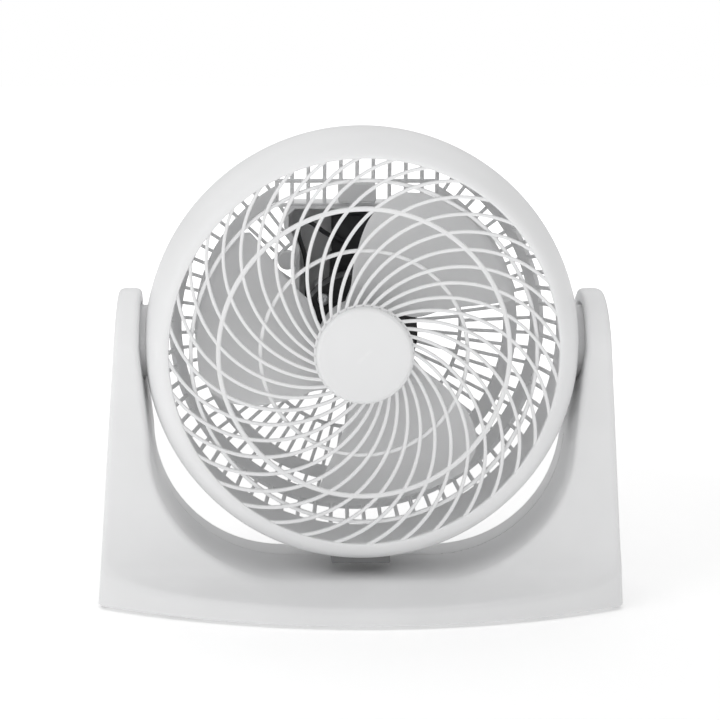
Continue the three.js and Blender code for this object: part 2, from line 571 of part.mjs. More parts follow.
function headParts() {
  const parts = [
    meshNamed('front_grille', frontGrille(), WHITE),
    meshNamed('centre_cap', centreCap(), WHITE),
    meshNamed('rear_shell', rearShell(), WHITE),
    meshNamed('motor_cover', motorCover(), WHITE),
    ...motorParts(),
    ...controlParts(),
  ];
  COVER_SCREWS.forEach((place, i) => {
    const headAt = REAR_OUTER_Y + 4 + 2 * GAP;
    const piece = join(rod('y', 3.4, headAt, headAt + 2, place, 10), rod('y', 1.7, 56, headAt + 1, place, 8));
    parts.push(meshNamed(`cover_screw_${i + 1}`, piece, STEEL));
  });
  for (const [name, side] of SIDES) {
    const thread = rod('x', 2.1, side * 125, side * 143, [0, 0], 12);
    const journal = rod('x', 3.1, side * 137, side * 143, [0, 0], 16);
    const bolt = join(thread, journal, rod('x', 6, side * 142.3, side * 144.6, [0, 0], 16));
    parts.push(meshNamed(`tilt_bolt_${name}`, bolt, STEEL));
  }
  parts.push(meshNamed('grille_latch', latchBlock(0), DARK));
  return parts;
}

// ---------------------------------------------------------------- assembly
const fan = new THREE.Group();
const yoke = new THREE.Group();
yoke.position.set(0, PIVOT_Y, 0);
yoke.add(...yokeParts());

const head = new THREE.Group();
head.position.set(0, PIVOT_Y, PIVOT_HEIGHT);
head.add(...headParts());

const rotor = new THREE.Group();
rotor.add(...rotorParts());
head.add(rotor);

const speedKnob = meshNamed('speed_knob', knob(), WHITE);
speedKnob.position.set(0, 0, KNOB_HEIGHT);
head.add(speedKnob);

fan.add(yoke, head);

export default fan;
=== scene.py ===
"""Looks of the desk fan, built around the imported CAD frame. Metres, +Z up, the air leaves towards -Y."""
import json
import math

import bmesh
import bpy
import numpy as np
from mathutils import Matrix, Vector


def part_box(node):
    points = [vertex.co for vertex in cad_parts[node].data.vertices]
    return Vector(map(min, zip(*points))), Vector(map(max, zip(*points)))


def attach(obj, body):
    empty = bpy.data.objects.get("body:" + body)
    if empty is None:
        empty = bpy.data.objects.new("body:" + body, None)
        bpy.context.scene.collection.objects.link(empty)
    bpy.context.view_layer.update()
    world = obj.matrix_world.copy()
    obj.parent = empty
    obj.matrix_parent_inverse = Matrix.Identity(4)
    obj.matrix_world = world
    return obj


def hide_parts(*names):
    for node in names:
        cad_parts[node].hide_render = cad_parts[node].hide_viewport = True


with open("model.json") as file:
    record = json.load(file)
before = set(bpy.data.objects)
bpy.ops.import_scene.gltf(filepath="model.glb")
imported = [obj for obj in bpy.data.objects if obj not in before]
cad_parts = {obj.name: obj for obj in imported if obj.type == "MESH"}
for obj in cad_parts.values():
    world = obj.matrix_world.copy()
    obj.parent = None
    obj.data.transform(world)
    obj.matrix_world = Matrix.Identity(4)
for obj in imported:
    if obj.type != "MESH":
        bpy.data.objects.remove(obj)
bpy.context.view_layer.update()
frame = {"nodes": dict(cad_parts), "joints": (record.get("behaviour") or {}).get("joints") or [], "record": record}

MM = 0.001
JOINTS = {joint["name"]: joint for joint in frame["joints"]}
PIVOT = np.array(JOINTS["head_tilt"]["pos_m"])
KNOB_AXIS = np.array(JOINTS["speed_knob_turn"]["pos_m"])

# ---------------------------------------------------------------- sizes
# millimetres: x and y from the tilt axis, heights from the table in the yoke and from the axis in the head
WALL = 2.4
GAP = 0.3
YOKE_BOTTOM = 2.0
YOKE_TOP = 192.0
PIVOT_HEIGHT = PIVOT[2] / MM
FOOT_HALF_WIDTH = 161.0
ARM_HALF_WIDTH = 147.5
INNER_HALF_WIDTH = 134.0
VALLEY_HALF_WIDTH = 128.0
VALLEY_RADIUS = 82.0
VALLEY_HEIGHT = 20.0
ARM_ROUND = 33.0
BOW_RADIUS = 320.0
BASE_AHEAD = 82.0
SPLIT_Y = 14.0
YOKE_EDGE = 3.4
YOKE_UNDERCUT = -20.0  # the outlines run on below the table so that the open underside stays sharp
ARM_SCREW = (144.0, 112.0)
ARM_SCREW_SEAT_Y = 32.4
TRUNNION_RADIUS = 22.0
TRUNNION_X = (125.5, 136.6)

HEAD_RADIUS = 131.5
SEAM_Y = 4.0
WIDEST_Y = -6.0
FRONT_Y = -50.0
OPENING_RADIUS = 115.3
BEZEL_LIP = 116.5
HEAD_WALL = 2.6
CAP_RADIUS = 28.5
WIRE_COUNT = 36
WIRE_FRONT_Y = -49.3
SPIRAL_RADIUS = 70.6
SPIRAL_OFFSET = 59.7
WIRE_TURN = math.radians(8)
WIRE_WIDTH = 2.05
WIRE_DEPTH = 3.0
FACE_RING = 86.0
BACK_RINGS = (61.3, 102.4)
REAR_INNER_Y = 57.0
REAR_OUTER_Y = 60.0
BAR_WIDTH = 2.2
BAR_COUNT = 72
RIM_RADIUS = 113.5
INNER_RING = 66.75
BAND = (94.0, 103.0)
SHOULDER_Y = (28.5, 51.5)
PANEL_HALF = 50.6
PANEL_FLOOR = 77.0
PANEL_PITCH = 10.25
PANEL_RAIL = 92.2
PANEL_BAR_WIDTH = 2.6
BOSS_Z = (79.0, 91.0)
BOSS_HALF = 12
SHIELD_WAIST = 36.0
SHIELD_TOP_HALF = 43.0
SHIELD_TOP = 74.5
SHIELD_FRAME = 3.0
SHIELD_KNEE = 50.0
COVER_BACK_Y = 92.0
CUT_Y = 80  # holes in the motor cover start here and run out through its back
VENT_REACH = 24
VENT_PITCH = 8
KNOB_RADIUS = 15
KNOB_SKIRT_Y = 98.5
MARK_RADIUS = 18.8
KNOB_HEIGHT = (KNOB_AXIS[2] - PIVOT[2]) / MM
GLAND_HEIGHT = -25.0
SCREW_HEAD_RADIUS = 3.4
COVER_SCREWS = ((-44, 42), (44, 42), (-33, -30), (33, -30))
BOLT_CIRCLE = 31.0
MOTOR_MIDDLE_Y = 37.5
STATOR_RADIUS = 37.0
HUB_RADIUS = 26.0
LEAD_RADIUS = 1.45
TIP_RADIUS = 99.5
# blade edges as (radius, degrees round from the blade's root line)
TRAILING_EDGE = ((24, -31), (32, -19), (39.3, -10.8), (50.9, -6.6), (60, -3.2), (76.7, 2.2), (90.8, 9.3),
                 (99.5, 17.5))
LEADING_EDGE = ((24, 50), (28, 54), (33, 63), (39.9, 68.4), (55, 69.8), (80, 73.8), (99.5, 75.2))


# ---------------------------------------------------------------- camera and light
VIEW_SIDE = -0.064  # the camera stands a little to the left of the fan but looks straight ahead
VIEW_ELEVATION = math.radians(10.3)
VIEW_DISTANCE = 1.30
VIEW_LENS = 106.0
VIEW_DROP = 0.0122  # the middle of the view is this far below the tilt axis
WORLD_STRENGTH = 0.46
FLOOR_SIZE = 12.0


def aim_at(thing, target):
    """Turns a camera or a light so that it looks at a place."""
    towards = Vector([float(v) for v in target]) - thing.location
    thing.rotation_euler = towards.to_track_quat("-Z", "Y").to_euler()


def add_camera():
    data = bpy.data.cameras.new("camera")
    data.lens = VIEW_LENS
    data.clip_start = 0.01
    camera = bpy.data.objects.new("camera", data)
    bpy.context.scene.collection.objects.link(camera)
    direction = Vector((0, -math.cos(VIEW_ELEVATION), math.sin(VIEW_ELEVATION)))
    target = Vector(PIVOT.tolist()) + Vector((VIEW_SIDE, 0, -VIEW_DROP))
    camera.location = target + VIEW_DISTANCE * direction
    aim_at(camera, target)
    data.shift_x = -VIEW_SIDE / VIEW_DISTANCE * VIEW_LENS / data.sensor_width
    bpy.context.scene.camera = camera


def add_area_light(name, place, size, power, target=PIVOT):
    data = bpy.data.lights.new(name, "AREA")
    data.shape = "RECTANGLE"
    data.size, data.size_y = size
    data.energy = power
    lamp = bpy.data.objects.new(name, data)
    bpy.context.scene.collection.objects.link(lamp)
    lamp.location = place
    aim_at(lamp, target)


def add_stage():
    """A plain pale floor, soft white surroundings and three soft lamps, brighter from the upper left."""
    scene = bpy.context.scene
    scene.view_settings.view_transform = "Standard"
    world = bpy.data.worlds.new("studio")
    scene.world = world
    world.use_nodes = True
    background = world.node_tree.nodes["Background"]
    background.inputs["Color"].default_value = (1, 1, 1, 1)
    background.inputs["Strength"].default_value = WORLD_STRENGTH
    backdrop = world.node_tree.nodes.new("ShaderNodeBackground")
    backdrop.inputs["Color"].default_value = (1, 1, 1, 1)
    seen = world.node_tree.nodes.new("ShaderNodeLightPath")
    either = world.node_tree.nodes.new("ShaderNodeMixShader")
    links = world.node_tree.links
    links.new(seen.outputs["Is Camera Ray"], either.inputs[0])
    links.new(background.outputs[0], either.inputs[1])
    links.new(backdrop.outputs[0], either.inputs[2])
    links.new(either.outputs[0], world.node_tree.nodes["World Output"].inputs["Surface"])
    bpy.ops.mesh.primitive_plane_add(size=FLOOR_SIZE, location=(0, 0, 0))
    floor = bpy.context.object
    floor.name = "studio_floor"
    floor.data.materials.append(floor_material())
    add_area_light("key_lamp", (-0.75, -0.6, 0.65), (0.8, 0.8), 2.1)
    add_area_light("overhead_lamp", (0.0, -0.2, 1.7), (2.2, 2.2), 9.8)
    add_area_light("rear_lamp", (0.0, 1.5, 1.4), (3.0, 1.2), 7.0, (0.0, 1.2, 0.0))


# ---------------------------------------------------------------- outlines (lists of 2-D points)
def arc(cx, cy, radius, start, end, steps):
    angles = np.radians(np.linspace(start, end, steps + 1))
    return [(cx + radius * math.cos(a), cy + radius * math.sin(a)) for a in angles]


def fillet(outline, radius, steps=5):
    """Rounds the corners of a closed outline. Radius is one number, or one for each corner."""
    radii = [radius] * len(outline) if np.isscalar(radius) else radius
    result = []
    for i, (corner, size) in enumerate(zip(outline, radii)):
        here = np.array(corner, float)
        before = np.array(outline[i - 1], float) - here
        after = np.array(outline[(i + 1) % len(outline)], float) - here
        reach = min(size, 0.48 * np.linalg.norm(before), 0.48 * np.linalg.norm(after))
        if reach < 0.01:
            result.append(tuple(here))
            continue
        first = here + before / np.linalg.norm(before) * reach
        last = here + after / np.linalg.norm(after) * reach
        for t in np.linspace(0, 1, steps + 1):
            result.append(tuple((1 - t) ** 2 * first + 2 * t * (1 - t) * here + t ** 2 * last))
    return result


def inset(outline, distance):
    """Moves a closed outline inwards, every corner along its mitre."""
    here = np.array(outline, float)
    before = here - np.roll(here, 1, axis=0)
    after = np.roll(here, -1, axis=0) - here
    before /= np.linalg.norm(before, axis=1)[:, None]
    after /= np.linalg.norm(after, axis=1)[:, None]
    turned = np.stack([-before[:, 1], before[:, 0]], axis=1)
    normal = turned + np.stack([-after[:, 1], after[:, 0]], axis=1)
    normal /= np.linalg.norm(normal, axis=1)[:, None]
    area = np.sum(here[:, 0] * np.roll(here[:, 1], -1) - here[:, 1] * np.roll(here[:, 0], -1))
    mitre = np.maximum(0.4, np.sum(normal * turned, axis=1))
    return (here + np.sign(area) * normal * (distance / mitre)[:, None]).tolist()


def mirrored(half):
    return list(half) + [(-x, z) for x, z in reversed(half)]


# ---------------------------------------------------------------- mesh forms: (points, faces) in millimetres
def merged(forms):
    points, faces, count = [], [], 0
    for form_points, form_faces in forms:
        points.append(np.asarray(form_points, float))
        faces.extend([tuple(index + count for index in face) for face in form_faces])
        count += len(form_points)
    return np.concatenate(points), faces


def grid_faces(rows, columns, close_rows, close_columns):
    faces = []
    for i in range(rows if close_rows else rows - 1):
        for j in range(columns if close_columns else columns - 1):
            k, m = (i + 1) % rows, (j + 1) % columns
            faces.append((i * columns + j, i * columns + m, k * columns + m, k * columns + j))
    return faces


def capped(rings):
    """A form through a row of closed rings, with both ends filled."""
    count = len(rings[0])
    faces = grid_faces(len(rings), count, False, True)
    last = (len(rings) - 1) * count
    faces.append(tuple(range(count)))
    faces.append(tuple(last + i for i in reversed(range(count))))
    return np.concatenate(rings), faces


def lathe(profile, sides=180, edge=None):
    """Turns a closed [radius, y] outline about the fan's axis, or, with an edge function, leaves out the
    top of the ring up to the angle that the function gives for a radius."""
    profile = np.array(profile, float)
    rings = []
    for i in range(sides if edge is None else sides + 1):
        share = i / sides
        low = np.array([edge(radius) if edge else 0.0 for radius in profile[:, 0]])
        angle = low + share * (2 * math.pi - 2 * low)
        across, up = profile[:, 0] * np.sin(angle), profile[:, 0] * np.cos(angle)
        rings.append(np.stack([across, profile[:, 1], up], axis=1))
    if edge is not None:
        return capped(rings)
    return np.concatenate(rings), grid_faces(len(rings), len(profile), True, True)


def sweep(path, across, up, section):
    """Carries a closed 2-D section along a path; across and up are its two directions at each point."""
    section = np.array(section, float)
    return capped([p + section[:, :1] * a + section[:, 1:] * u for p, a, u in zip(path, across, up)])


def bar_section(width, depth, steps=3):
    w, d = width / 2, depth / 2
    return fillet([(-w, -d), (w, -d), (w, d), (-w, d)], 0.42 * min(width, depth), steps)


def flat_sweep(path_xz, y, section):
    """A bar that lies in a plane across the fan's axis: its section's second direction is the axis."""
    path = np.array([(x, y, z) for x, z in path_xz], float)
    along = np.gradient(path, axis=0)
    along /= np.linalg.norm(along, axis=1)[:, None]
    up = np.tile([0.0, 1.0, 0.0], (len(path), 1))
    return sweep(path, np.cross(along, up), up, section)


def slab(outline, low, high, edge_low=0.0, edge_high=0.0, axis="y", steps=4):
    """An outline pushed along an axis, with its two rims rounded."""
    layers = []
    for t in np.linspace(0, math.pi / 2, steps + 1) if edge_low else []:
        layers.append((edge_low * (1 - math.sin(t)), low + edge_low * (1 - math.cos(t))))
    if not edge_low:
        layers.append((0.0, low))
    for t in np.linspace(math.pi / 2, 0, steps + 1) if edge_high else []:
        layers.append((edge_high * (1 - math.sin(t)), high - edge_high * (1 - math.cos(t))))
    if not edge_high:
        layers.append((0.0, high))
    order = {"y": (0, 2, 1), "z": (0, 1, 2), "x": (2, 0, 1)}[axis]
    rings = []
    for distance, level in layers:
        ring = np.array([(u, v, level) for u, v in (inset(outline, distance) if distance else outline)])
        rings.append(ring[:, order])
    return capped(rings)


# ---------------------------------------------------------------- rounded solids from distance fields
def outline_distance(outline, u, v):
    """Signed distance to a closed outline on the grid u by v, negative inside."""
    gu, gv = np.meshgrid(u, v, indexing="ij")
    nearest = np.full(gu.shape, 1e9)
    inside = np.zeros(gu.shape, bool)
    ends = list(outline[1:]) + [outline[0]]
    for (x0, y0), (x1, y1) in zip(outline, ends):
        dx, dy = x1 - x0, y1 - y0
        length = dx * dx + dy * dy
        if length < 1e-12:
            continue
        t = np.clip(((gu - x0) * dx + (gv - y0) * dy) / length, 0, 1)
        nearest = np.minimum(nearest, np.hypot(gu - x0 - t * dx, gv - y0 - t * dy))
        crosses = (y0 > gv) != (y1 > gv)
        if dy:
            inside ^= crosses & (gu < x0 + (gv - y0) / dy * dx)
    return np.where(inside, -nearest, nearest)


def soft_meet(radius, *distances):
    """What several solids have in common, with its edges rounded to a radius."""
    sharp = distances[0]
    for distance in distances[1:]:
        sharp = np.maximum(sharp, distance)
    total = sum(np.maximum(distance + radius, 0) ** 2 for distance in distances)
    return np.minimum(sharp, -radius) + np.sqrt(total)


def field_surface(values, axes):
    """Surface nets: a point in each grid cell the surface crosses, and a quad round each crossed edge."""
    inside = values < 0
    shape = tuple(n - 1 for n in values.shape)
    corners = [(i, j, k) for i in (0, 1) for j in (0, 1) for k in (0, 1)]
    count = np.zeros(shape, np.int8)
    for i, j, k in corners:
        count += inside[i:i + shape[0], j:j + shape[1], k:k + shape[2]]
    cells = np.argwhere((count > 0) & (count < 8))
    total = np.zeros((len(cells), 3))
    hits = np.zeros(len(cells))
    for c in corners:
        for axis in range(3):
            if c[axis]:
                continue
            d = tuple(c[a] + (a == axis) for a in range(3))
            first = values[tuple((cells + c).T)]
            second = values[tuple((cells + d).T)]
            crossed = (first < 0) != (second < 0)
            t = np.where(crossed, first / np.where(crossed, first - second, 1), 0)
            place = np.tile(np.array(c, float), (len(cells), 1))
            place[:, axis] = t
            total += place * crossed[:, None]
            hits += crossed
    step = np.array([axis[1] - axis[0] for axis in axes])
    low = np.array([axis[0] for axis in axes])
    points = low + (cells + total / hits[:, None]) * step
    index = np.full(shape, -1, np.int64)
    index[tuple(cells.T)] = np.arange(len(cells))
    faces = []
    for axis in range(3):
        b, c = [(axis + 1) % 3, (axis + 2) % 3]
        start = [slice(None)] * 3
        start[axis] = slice(None, -1)
        stop = [slice(None)] * 3
        stop[axis] = slice(1, None)
        crossed = inside[tuple(start)] != inside[tuple(stop)]
        edges = np.argwhere(crossed)
        edges = edges[(edges[:, b] > 0) & (edges[:, c] > 0)]
        edges = edges[(edges[:, b] < shape[b]) & (edges[:, c] < shape[c])]
        offset_b, offset_c = np.eye(3, dtype=int)[b], np.eye(3, dtype=int)[c]
        around = (offset_b + offset_c, offset_c, np.zeros(3, int), offset_b)
        quad = [index[tuple((edges - offset).T)] for offset in around]
        quad = np.stack(quad, axis=1)
        outward = inside[tuple(edges.T)]
        quad[~outward] = quad[~outward][:, ::-1]
        faces.append(quad)
    return points, np.concatenate(faces)


def grid_axes(low, high, step):
    return [np.arange(a - 2.5 * step, b + 2.6 * step, step) for a, b in zip(low, high)]


# ---------------------------------------------------------------- materials
class Surface:
    """One procedural material on a Principled shader, in object coordinates (metres)."""

    def __init__(self, name, metallic=0.0, ior=1.47, specular=0.5):
        self.material = bpy.data.materials.new(name)
        self.material.use_nodes = True
        self.nodes = self.material.node_tree.nodes
        self.links = self.material.node_tree.links
        self.shader = self.nodes["Principled BSDF"]
        self.shader.inputs["Metallic"].default_value = metallic
        self.shader.inputs["IOR"].default_value = ior
        self.shader.inputs["Specular IOR Level"].default_value = specular
        self.place = self.nodes.new("ShaderNodeTexCoord").outputs["Object"]
        self.normal = None

    def noise(self, size, detail=2.0, stretch=None):
        """Noise whose blobs are about size metres across."""
        node = self.nodes.new("ShaderNodeTexNoise")
        node.inputs["Scale"].default_value = 1.0 / size
        node.inputs["Detail"].default_value = detail
        place = self.place
        if stretch:
            mapping = self.nodes.new("ShaderNodeMapping")
            mapping.inputs["Scale"].default_value = stretch
            self.links.new(place, mapping.inputs["Vector"])
            place = mapping.outputs["Vector"]
        self.links.new(place, node.inputs["Vector"])
        return node.outputs["Fac"]

    def bands(self, size, direction="Y", distortion=0.0):
        node = self.nodes.new("ShaderNodeTexWave")
        node.wave_type = "BANDS"
        node.bands_direction = direction
        node.inputs["Scale"].default_value = 0.314 / size
        node.inputs["Distortion"].default_value = distortion
        self.links.new(self.place, node.inputs["Vector"])
        return node.outputs["Fac"]

    def edges(self):
        """White where the surface is convex, such as along moulded edges."""
        return self.nodes.new("ShaderNodeNewGeometry").outputs["Pointiness"]

    def spread(self, value, low, high, start=0.35, stop=0.65):
        node = self.nodes.new("ShaderNodeMapRange")
        for name, number in (("From Min", start), ("From Max", stop), ("To Min", low), ("To Max", high)):
            node.inputs[name].default_value = number
        self.links.new(value, node.inputs["Value"])
        return node.outputs["Result"]

    def blended(self, factor, first, second):
        node = self.nodes.new("ShaderNodeMix")
        node.data_type = "RGBA"
        self.links.new(factor, node.inputs["Factor"])
        for socket, colour in ((node.inputs["A"], first), (node.inputs["B"], second)):
            if isinstance(colour, tuple):
                socket.default_value = (*colour, 1)
            else:
                self.links.new(colour, socket)
        return node.outputs["Result"]

    def colour(self, value):
        self.links.new(value, self.shader.inputs["Base Color"])

    def roughness(self, value):
        self.links.new(value, self.shader.inputs["Roughness"])

    def bump(self, height, depth, strength=1.0):
        node = self.nodes.new("ShaderNodeBump")
        node.inputs["Distance"].default_value = depth
        node.inputs["Strength"].default_value = strength
        self.links.new(height, node.inputs["Height"])
        if self.normal:
            self.links.new(self.normal, node.inputs["Normal"])
        self.normal = node.outputs["Normal"]
        self.links.new(self.normal, self.shader.inputs["Normal"])


def moulded_plastic(name, colour, roughness, grain=0.0007, depth=0.00004, mottle_and_sheen=0.03):
    """Injection-moulded plastic: fine spark-eroded grain, faint flow marks, and painted sheen that makes convex
    edges a little lighter.
    """
    surface = Surface(name)
    darker = tuple(channel * (1 - mottle_and_sheen) for channel in colour)
    lighter = tuple(min(1.0, channel * (1 + mottle_and_sheen)) for channel in colour)
    flow = surface.spread(surface.noise(0.05, 3.0), 0.0, 1.0)
    # painted sheen: the colour turns a little lighter along convex edges
    edge_sheen = surface.spread(surface.edges(), 0.0, 0.6, 0.52, 0.62)
    surface.colour(surface.blended(edge_sheen, surface.blended(flow, darker, colour), lighter))
    surface.roughness(surface.spread(surface.noise(0.012, 4.0), roughness - 0.05, roughness + 0.07))
    surface.bump(surface.noise(grain, 2.0), depth, 0.5)
    surface.bump(surface.noise(0.03, 1.0), 0.0004, 0.12)
    return surface.material


def soft_rubber(name):
    surface = Surface(name, specular=0.3)
    dust = surface.spread(surface.noise(0.004, 5.0), 0.0, 1.0, 0.5, 0.75)
    surface.colour(surface.blended(dust, (0.022, 0.022, 0.024), (0.06, 0.06, 0.062)))
    surface.roughness(surface.spread(surface.noise(0.002), 0.7, 0.9))
    surface.bump(surface.noise(0.0004), 0.00006, 0.6)
    return surface.material


def plated_steel(name):
    surface = Surface(name, metallic=1.0)
    streaks = surface.noise(0.0012, 4.0, stretch=(1.0, 6.0, 1.0))
    surface.colour(surface.blended(streaks, (0.52, 0.53, 0.55), (0.68, 0.69, 0.7)))
    surface.roughness(surface.spread(streaks, 0.24, 0.42))
    surface.bump(streaks, 0.00002, 0.5)
    return surface.material


def painted_black(name):
    surface = Surface(name)
    chips = surface.spread(surface.edges(), 0.0, 0.5, 0.56, 0.68)
    surface.colour(surface.blended(chips, (0.012, 0.012, 0.013), (0.1, 0.1, 0.11)))
    surface.roughness(surface.spread(surface.noise(0.003, 4.0), 0.35, 0.55))
    surface.bump(surface.noise(0.0009), 0.00006, 0.5)
    return surface.material


def laminated_steel(name):
    surface = Surface(name, metallic=1.0)
    sheets = surface.bands(0.0006)
    surface.colour(surface.blended(sheets, (0.1, 0.1, 0.105), (0.3, 0.3, 0.31)))
    surface.roughness(surface.spread(surface.noise(0.002, 3.0), 0.4, 0.6))
    surface.bump(sheets, 0.0001, 0.8)
    return surface.material


def copper_winding(name):
    surface = Surface(name, metallic=1.0)
    strands = surface.bands(0.0007, "Y", 1.5)
    surface.colour(surface.blended(strands, (0.3, 0.1, 0.04), (0.78, 0.36, 0.16)))
    surface.roughness(surface.spread(surface.noise(0.001), 0.25, 0.4))
    surface.bump(strands, 0.0002, 0.9)
    return surface.material


def sintered_bronze(name):
    surface = Surface(name, metallic=1.0)
    pores = surface.noise(0.0005, 3.0)
    surface.colour(surface.blended(pores, (0.35, 0.22, 0.1), (0.62, 0.45, 0.24)))
    surface.roughness(surface.spread(pores, 0.35, 0.55))
    surface.bump(pores, 0.00004, 0.6)
    return surface.material


def floor_material():
    """A white floor that glows faintly under the object and more further off, so that no horizon shows."""
    surface = Surface("studio_floor_surface", specular=0.0)
    surface.shader.inputs["Roughness"].default_value = 0.9
    surface.shader.inputs["Emission Color"].default_value = (1, 1, 1, 1)
    away = surface.nodes.new("ShaderNodeVectorMath")
    away.operation = "LENGTH"
    surface.links.new(surface.place, away.inputs[0])
    glow = surface.spread(away.outputs["Value"], 0.26, 1.0, 0.4, 1.5)
    surface.links.new(glow, surface.shader.inputs["Emission Strength"])
    tone = surface.noise(0.4, 2.0)
    surface.colour(surface.blended(tone, (0.93, 0.93, 0.93), (0.95, 0.95, 0.95)))
    return surface.material


MATERIALS = {
    "housing_white": moulded_plastic("housing_white_surface", (0.85, 0.852, 0.856), 0.46),
    "blade_plastic": moulded_plastic("blade_plastic_surface", (0.80, 0.802, 0.806), 0.36, 0.0009, 0.00002),
    "knob_white": moulded_plastic("knob_white_surface", (0.74, 0.745, 0.75), 0.42),
    "dark_plastic": moulded_plastic("dark_plastic_surface", (0.025, 0.025, 0.027), 0.45),
    # the latch's mid grey is painted shade: it stands for the soft shadow under the bezel
    "latch_grey": moulded_plastic("latch_shade_grey_surface", (0.22, 0.222, 0.225), 0.5),
    "rubber_dark": soft_rubber("rubber_dark_surface"),
    "fastener_steel": plated_steel("fastener_steel_surface"),
    "motor_black": painted_black("motor_black_surface"),
    "lamination_steel": laminated_steel("lamination_steel_surface"),
    "winding_copper": copper_winding("winding_copper_surface"),
    "bearing_bronze": sintered_bronze("bearing_bronze_surface"),
    "nylon": moulded_plastic("nylon_surface", (0.72, 0.71, 0.66), 0.5),
}


# ---------------------------------------------------------------- pieces
def piece(name, form, body, slot, nodes=(), origin=PIVOT, sharp_angle=40):
    """A finished mesh object: a form in millimetres about an origin, on a body, in a material slot."""
    points, faces = form
    mesh = bpy.data.meshes.new(name)
    places = np.asarray(points) * MM + np.array(origin)
    mesh.from_pydata(places.tolist(), [], [tuple(int(i) for i in face) for face in faces])
    work = bmesh.new()
    work.from_mesh(mesh)
    bmesh.ops.recalc_face_normals(work, faces=work.faces)
    work.to_mesh(mesh)
    work.free()
    mesh.shade_smooth()
    mesh.set_sharp_from_angle(angle=math.radians(sharp_angle))
    mesh.materials.append(MATERIALS[slot])
    thing = bpy.data.objects.new(name, mesh)
    bpy.context.scene.collection.objects.link(thing)
    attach(thing, body)
    if nodes:
        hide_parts(*nodes)


FLOOR_UNDER_PIVOT = np.array([PIVOT[0], PIVOT[1], 0.0])


# ---------------------------------------------------------------- yoke
def yoke_front_outline(bottom):
    inner = INNER_HALF_WIDTH - 0.5
    half = [(FOOT_HALF_WIDTH, bottom)]
    half += arc(ARM_HALF_WIDTH - 4, YOKE_TOP - 4, 4, 0, 90, 6)
    half += arc(inner + 4, YOKE_TOP - 4, 4, 90, 180, 6)
    half += [(INNER_HALF_WIDTH, PIVOT_HEIGHT)]
    half += arc(VALLEY_HALF_WIDTH - VALLEY_RADIUS, VALLEY_HEIGHT + VALLEY_RADIUS, VALLEY_RADIUS, 0, -90, 40)
    return mirrored(half)


def smooth_curve(knots, count):
    """A Catmull-Rom curve through given points."""
    knots = np.array([knots[0], *knots, knots[-1]], float)
    spans = len(knots) - 3
    result = []
    for t in np.linspace(0, spans - 1e-9, count):
        i, u = int(t), t - int(t)
        p0, p1, p2, p3 = knots[i:i + 4]
        result.append(tuple(0.5 * (2 * p1 + (p2 - p0) * u + (2 * p0 - 5 * p1 + 4 * p2 - p3) * u ** 2
                                   + (3 * p1 - p0 - 3 * p2 + p3) * u ** 3)))
    return result


def yoke_side_outline(bottom):
    toe = [(-33, PIVOT_HEIGHT), (-35, 100), (-36.5, 60), (-38.5, 36), (-42, 26), (-48, 20.5), (-60, 16.3),
           (-90, 11.2)]
    heel = [(60, 7), (50, 11), (42, 19), (38, 32), (36, 60), (35, 100), (33, PIVOT_HEIGHT)]
    top = arc(0, PIVOT_HEIGHT, ARM_ROUND, 0, 180, 32)[1:-1]
    return smooth_curve(toe, 50) + [(-90, bottom), (61, bottom)] + smooth_curve(heel, 40) + top


def yoke_plan_outline():
    side = math.degrees(math.asin((FOOT_HALF_WIDTH + 3) / BOW_RADIUS))
    front = arc(0, BOW_RADIUS - BASE_AHEAD, BOW_RADIUS, -90 - side, -90 + side, 60)
    return front + [(FOOT_HALF_WIDTH + 3, 58), (-FOOT_HALF_WIDTH - 3, 58)]


def yoke_fields(step):
    """Distance fields of the two yoke mouldings, about the point on the table under the tilt axis."""
    axes = grid_axes((-162, -83, 0), (162, 61, YOKE_TOP + 1), step)
    x, y, z = axes
    across, deep, up = x[:, None, None], y[None, :, None], z[None, None, :]
    three = (outline_distance(yoke_front_outline(YOKE_UNDERCUT), x, z)[:, None, :],
             outline_distance(yoke_side_outline(YOKE_UNDERCUT), y, z)[None, :, :],
             outline_distance(yoke_plan_outline(), x, y)[:, :, None])
    outer = np.maximum(soft_meet(YOKE_EDGE, *three), YOKE_BOTTOM - up)
    cavity = soft_meet(2.0, *(distance + WALL for distance in three))
    shell = np.maximum(outer, -cavity)
    radial = np.hypot(deep, up - PIVOT_HEIGHT)
    pad = np.maximum(radial - 28, np.maximum(132 - abs(across), abs(across) - 140.5))
    shell = np.minimum(shell, np.maximum(pad, outer))
    recess = np.maximum(radial - TRUNNION_RADIUS - 2, abs(across) - 137)
    bore = np.maximum(radial - 6, abs(across) - 143)
    shell = np.maximum(shell, -np.minimum(recess, bore))
    screw_x, screw_z = ARM_SCREW
    counterbore = np.maximum(np.hypot(abs(across) - screw_x, up - screw_z) - 3.4, 30 - deep)
    shell = np.maximum(shell, -counterbore)
    front = np.maximum(shell, deep - SPLIT_Y)
    rear = np.maximum(shell, SPLIT_Y + GAP - deep)
    return axes, front, rear


def add_yoke():
    step = 1.1
    axes, front, rear = yoke_fields(step)
    for name, field, seam in (("front", front, SPLIT_Y), ("rear", rear, SPLIT_Y + GAP)):
        points, faces = field_surface(field, axes)
        points[:, 1] = np.where(abs(points[:, 1] - seam) < 0.7 * step, seam, points[:, 1])
        piece(f"yoke_{name}_moulding", (points, faces), "base", "housing_white",
              [f"yoke_{name}_shell"], FLOOR_UNDER_PIVOT, sharp_angle=50)


def add_feet():
    for i in range(1, 5):
        low, high = (np.array(corner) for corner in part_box(f"rubber_foot_{i}"))
        centre = np.array([(low[0] + high[0]) / 2, (low[1] + high[1]) / 2, low[2]])
        radius, height = (high[0] - low[0]) / 2 / MM, (high[2] - low[2]) / MM
        outline = arc(0, 0, radius, 0, 360, 48)[:-1]
        dish = slab(outline, 0, height, 0.7, 0.2, "z")
        piece(f"foot_{i}", dish, "base", "rubber_dark", [f"rubber_foot_{i}"], centre)


# ---------------------------------------------------------------- front grille
def head_contour(y):
    return math.sqrt(HEAD_RADIUS ** 2 - (y - WIDEST_Y) ** 2)


